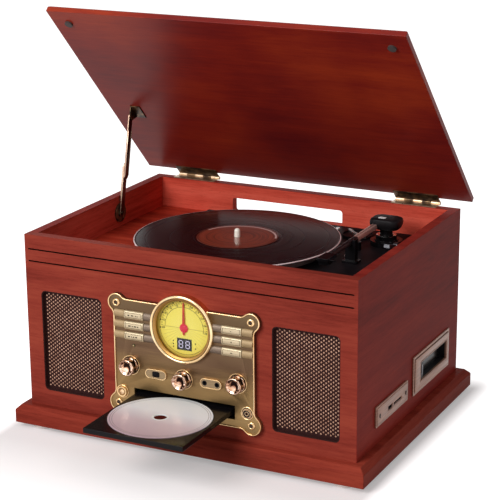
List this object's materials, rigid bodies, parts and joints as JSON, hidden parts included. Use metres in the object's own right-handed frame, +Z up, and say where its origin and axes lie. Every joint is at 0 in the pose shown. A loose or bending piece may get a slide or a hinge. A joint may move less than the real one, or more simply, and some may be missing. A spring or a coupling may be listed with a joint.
{
  "type": "stereo music centre",
  "caption": "Tabletop music centre: record deck under a hinged lid, dial radio, disc tray, cassette slot and loudspeakers in a wooden cabinet.",
  "frame": {"origin": "on the table, under the middle of the base", "axes": "+X to the right seen from the front, +Y to the back, +Z up"},
  "size_m": [0.46, 0.466, 0.5001],
  "materials": {
    "veneer": "satin mahogany veneer",
    "deck_veneer": "satin mahogany veneer",
    "bare_board": "bare fibreboard",
    "foot_metal": "spun silver cup on a dark pad",
    "black_plastic": "fine texture",
    "grille_mesh": "woven pattern",
    "driver_steel": "satin",
    "antique_brass": "antiqued, brushed",
    "bright_brass": "polished",
    "light_gold": "satin",
    "side_plate": "satin champagne",
    "dial_face": "printed",
    "dial_cover": "clear",
    "needle_red": "gloss",
    "jack_metal": "polished",
    "circuit_board": "lacquered",
    "disc_face": "silver, printed",
    "platter_metal": "turned",
    "mat_rubber": "matt",
    "vinyl": "grooved, gloss",
    "arm_metal": "gloss",
    "lever_metal": "satin"
  },
  "bodies": {
    "cabinet": {"base_plinth": "veneer", "bottom_panel": "bare_board", "feet": "foot_metal", "front_panel": "veneer", "rear_panel": "veneer", "left_panel": "veneer", "right_panel": "veneer", "deck_board": "deck_veneer", "turntable_plate": "black_plastic", "speaker_grilles": "grille_mesh", "speaker_drivers": "driver_steel", "fascia": "antique_brass", "fascia_screws": "bright_brass", "dial_bezel": "bright_brass", "dial_plate": "dial_face", "dial_glass": "dial_cover", "front_jacks": "jack_metal", "circuit_boards": "circuit_board", "disc_drive": "black_plastic", "drive_belt": "mat_rubber", "deck_motor": "driver_steel", "arm_base": "black_plastic", "cassette_plate": "side_plate", "cassette_deck": "black_plastic", "card_plate": "side_plate", "rear_sockets": "black_plastic", "hinge_case_leaves": "antique_brass", "stay_case_bracket": "antique_brass"},
    "lid": {"lid": "veneer", "lid_pads": "mat_rubber", "hinge_lid_leaves": "antique_brass", "stay_lid_bracket": "antique_brass"},
    "stay_lower_arm": {"stay_lower_arm": "antique_brass"},
    "stay_upper_arm": {"stay_upper_arm": "antique_brass"},
    "platter": {"platter": "platter_metal", "platter_mat": "mat_rubber", "record": "vinyl"},
    "motor_pulley": {"motor_pulley": "bright_brass"},
    "arm_turret": {"arm_turret": "black_plastic"},
    "tonearm": {"tonearm": "arm_metal", "cartridge": "black_plastic"},
    "cue_lever": {"cue_lever": "lever_metal"},
    "lift_bar": {"lift_bar": "lever_metal"},
    "speed_switch": {"speed_switch": "black_plastic"},
    "autostop_switch": {"autostop_switch": "black_plastic"},
    "volume_knob": {"volume_knob": "bright_brass"},
    "mode_knob": {"mode_knob": "bright_brass"},
    "tuning_knob": {"tuning_knob": "bright_brass"},
    "dial_pointer": {"dial_pointer": "needle_red"},
    "power_button": {"power_button": "light_gold"},
    "disc_tray": {"disc_tray": "black_plastic"},
    "disc": {"disc": "disc_face"},
    "cassette_door": {"cassette_door": "black_plastic"},
    "eject_button": {"eject_button": "black_plastic"},
    "button_left_top": {"button_left_top": "light_gold"},
    "button_left_middle": {"button_left_middle": "light_gold"},
    "button_left_low": {"button_left_low": "light_gold"},
    "button_right_top": {"button_right_top": "light_gold"},
    "button_right_middle": {"button_right_middle": "light_gold"},
    "button_right_low": {"button_right_low": "light_gold"}
  },
  "joints": [
    {"name": "lid_hinge", "type": "hinge", "parent": "cabinet", "child": "lid", "pos_m": [0, 0.17, 0.24475], "axis": [1, 0, 0], "range_deg": [0, 45.57]},
    {"name": "stay_foot_pivot", "type": "hinge", "parent": "cabinet", "child": "stay_lower_arm", "pos_m": [-0.1999, 0.038, 0.2215], "axis": [1, 0, 0], "range_deg": [-90, 0]},
    {"name": "stay_head_pivot", "type": "hinge", "parent": "lid", "child": "stay_upper_arm", "pos_m": [-0.198, 0.06296, 0.34287], "axis": [1, 0, 0], "range_deg": [0, 45]},
    {"name": "platter_spin", "type": "hinge", "parent": "cabinet", "child": "platter", "pos_m": [-0.014, 0, 0.2055], "axis": [0, 0, 1], "continuous": true},
    {"name": "pulley_spin", "type": "hinge", "parent": "cabinet", "child": "motor_pulley", "pos_m": [0.04257, -0.05657, 0.2055], "axis": [0, 0, 1], "continuous": true},
    {"name": "arm_swing", "type": "hinge", "parent": "cabinet", "child": "arm_turret", "pos_m": [0.142, 0.099, 0.213], "axis": [0, 0, 1], "range_deg": [-39, 0]},
    {"name": "arm_lift", "type": "hinge", "parent": "arm_turret", "child": "tonearm", "pos_m": [0.142, 0.099, 0.232], "axis": [-1, 0, 0], "range_deg": [0, 4.5]},
    {"name": "cue_lever_turn", "type": "hinge", "parent": "cabinet", "child": "cue_lever", "pos_m": [0.168, 0.068, 0.2145], "axis": [-1, 0, 0], "range_deg": [0, 46]},
    {"name": "lift_bar_rise", "type": "slide", "parent": "cabinet", "child": "lift_bar", "axis": [0, 0, 1], "range_m": [0, 0.0035]},
    {"name": "speed_switch_slide", "type": "slide", "parent": "cabinet", "child": "speed_switch", "axis": [0, 1, 0], "range_m": [-0.005, 0.005]},
    {"name": "autostop_switch_slide", "type": "slide", "parent": "cabinet", "child": "autostop_switch", "axis": [0, 1, 0], "range_m": [-0.005, 0]},
    {"name": "volume_knob_turn", "type": "hinge", "parent": "cabinet", "child": "volume_knob", "pos_m": [-0.07, -0.168, 0.1025], "axis": [0, -1, 0], "range_deg": [-150, 150]},
    {"name": "mode_knob_turn", "type": "hinge", "parent": "cabinet", "child": "mode_knob", "pos_m": [0, -0.168, 0.096], "axis": [0, -1, 0], "range_deg": [-60, 60]},
    {"name": "tuning_knob_turn", "type": "hinge", "parent": "cabinet", "child": "tuning_knob", "pos_m": [0.07, -0.168, 0.1025], "axis": [0, -1, 0], "range_deg": [-150, 150]},
    {"name": "pointer_turn", "type": "hinge", "parent": "cabinet", "child": "dial_pointer", "pos_m": [0, -0.163, 0.1575], "axis": [0, -1, 0], "range_deg": [-75, 75]},
    {"name": "power_button_press", "type": "slide", "parent": "cabinet", "child": "power_button", "axis": [0, 1, 0], "range_m": [0, 0.0015], "stiffness_N_per_m": 800},
    {"name": "button_left_top_press", "type": "slide", "parent": "cabinet", "child": "button_left_top", "axis": [0, 1, 0], "range_m": [0, 0.0012], "stiffness_N_per_m": 800},
    {"name": "button_left_middle_press", "type": "slide", "parent": "cabinet", "child": "button_left_middle", "axis": [0, 1, 0], "range_m": [0, 0.0012], "stiffness_N_per_m": 800},
    {"name": "button_left_low_press", "type": "slide", "parent": "cabinet", "child": "button_left_low", "axis": [0, 1, 0], "range_m": [0, 0.0012], "stiffness_N_per_m": 800},
    {"name": "button_right_top_press", "type": "slide", "parent": "cabinet", "child": "button_right_top", "axis": [0, 1, 0], "range_m": [0, 0.0012], "stiffness_N_per_m": 800},
    {"name": "button_right_middle_press", "type": "slide", "parent": "cabinet", "child": "button_right_middle", "axis": [0, 1, 0], "range_m": [0, 0.0012], "stiffness_N_per_m": 800},
    {"name": "button_right_low_press", "type": "slide", "parent": "cabinet", "child": "button_right_low", "axis": [0, 1, 0], "range_m": [0, 0.0012], "stiffness_N_per_m": 800},
    {"name": "tray_slide", "type": "slide", "parent": "cabinet", "child": "disc_tray", "axis": [0, 1, 0], "range_m": [0, 0.119]},
    {"name": "disc_spin", "type": "hinge", "parent": "disc_tray", "child": "disc", "pos_m": [0, -0.224, 0.0694], "axis": [0, 0, 1], "continuous": true},
    {"name": "cassette_door_swing", "type": "hinge", "parent": "cabinet", "child": "cassette_door", "pos_m": [0.2085, 0.0815, 0.08325], "axis": [0, 1, 0], "range_deg": [0, 75], "stiffness_Nm_per_rad": 0.01, "springref_deg": -34.38},
    {"name": "eject_button_press", "type": "slide", "parent": "cabinet", "child": "eject_button", "axis": [-1, 0, 0], "range_m": [0, 0.003], "stiffness_N_per_m": 500}
  ],
  "couplings": [
    {"joint": "stay_foot_pivot", "follows": "lid_hinge", "ratio": -1.8648},
    {"joint": "stay_head_pivot", "follows": "lid_hinge", "ratio": 0.83378},
    {"joint": "pulley_spin", "follows": "platter_spin", "ratio": 10},
    {"joint": "cue_lever_turn", "follows": "arm_lift", "ratio": 10},
    {"joint": "lift_bar_rise", "follows": "arm_lift", "m_per_rad": 0.0433},
    {"joint": "pointer_turn", "follows": "tuning_knob_turn", "ratio": 0.5}
  ]
}
